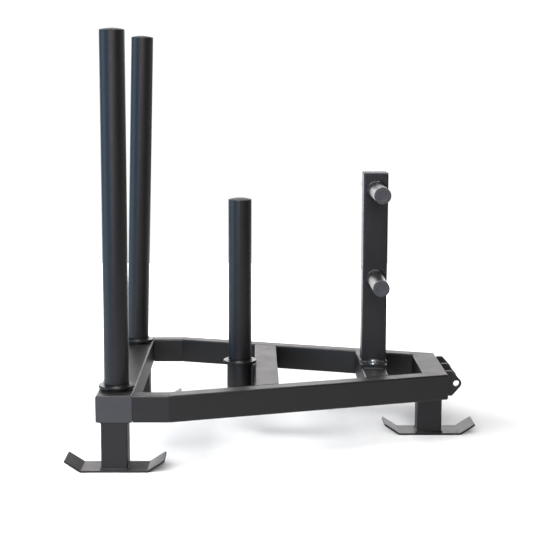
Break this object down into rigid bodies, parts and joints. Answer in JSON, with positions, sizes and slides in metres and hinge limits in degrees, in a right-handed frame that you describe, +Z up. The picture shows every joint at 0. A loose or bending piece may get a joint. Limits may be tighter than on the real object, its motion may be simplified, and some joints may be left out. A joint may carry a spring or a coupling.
{
  "type": "push sled",
  "caption": "Three-skid weight sled with a tapered tube frame, lift-out push poles, a round weight post, a bolted square post with grip pegs and tow lugs.",
  "frame": {"origin": "on the floor, halfway along and across the sled", "axes": "+X towards the tow lugs, +Y towards the sled's left side, +Z up along the posts"},
  "size_m": [0.8288, 0.6002, 0.8359],
  "materials": {
    "frame_coat": "satin black powder coat",
    "pole_coat": "satin black powder coat, slightly smoother",
    "cap_plastic": "finely mottled dark plastic",
    "zinc": "bright zinc plate"
  },
  "bodies": {
    "frame": {"rear_cross_tube": "frame_coat", "rear_end_cap_right": "cap_plastic", "rear_end_cap_left": "cap_plastic", "rail_stub_right": "frame_coat", "rail_stub_left": "frame_coat", "side_rail_right": "frame_coat", "side_rail_left": "frame_coat", "nose_tube": "frame_coat", "mid_cross_tube": "frame_coat", "front_cross_tube": "frame_coat", "tow_lug_right": "frame_coat", "tow_lug_centre": "frame_coat", "tow_lug_left": "frame_coat", "rear_leg_right": "frame_coat", "rear_leg_left": "frame_coat", "front_leg": "frame_coat", "skid_rear_right": "frame_coat", "skid_rear_left": "frame_coat", "skid_front": "frame_coat", "pole_socket_right": "frame_coat", "pole_socket_left": "frame_coat", "weight_socket": "frame_coat", "weight_socket_saddle": "frame_coat", "front_post": "frame_coat", "front_post_cap": "cap_plastic", "post_base_plate": "frame_coat", "post_flange": "frame_coat", "post_washer_right": "zinc", "post_washer_left": "zinc", "post_bolt_right": "zinc", "post_bolt_left": "zinc", "post_nut_right": "zinc", "post_nut_left": "zinc", "peg_upper_right": "frame_coat", "peg_upper_left": "frame_coat", "peg_lower_right": "frame_coat", "peg_lower_left": "frame_coat", "peg_cap_upper_right": "cap_plastic", "peg_cap_upper_left": "cap_plastic", "peg_cap_lower_right": "cap_plastic", "peg_cap_lower_left": "cap_plastic"},
    "push_pole_right": {"push_pole_right": "pole_coat", "pole_collar_right": "frame_coat", "pole_cap_right": "cap_plastic"},
    "push_pole_left": {"push_pole_left": "pole_coat", "pole_collar_left": "frame_coat", "pole_cap_left": "cap_plastic"},
    "weight_post": {"weight_post": "pole_coat", "weight_post_collar": "frame_coat", "weight_post_cap": "cap_plastic"}
  },
  "joints": [
    {"name": "push_pole_right_lift", "type": "slide", "parent": "frame", "child": "push_pole_right", "axis": [0, 0, 1], "range_m": [0, 0.1]},
    {"name": "push_pole_left_lift", "type": "slide", "parent": "frame", "child": "push_pole_left", "axis": [0.0262, 0, 0.9997], "range_m": [0, 0.1]},
    {"name": "weight_post_lift", "type": "slide", "parent": "frame", "child": "weight_post", "axis": [0, 0, 1], "range_m": [0, 0.15]}
  ]
}
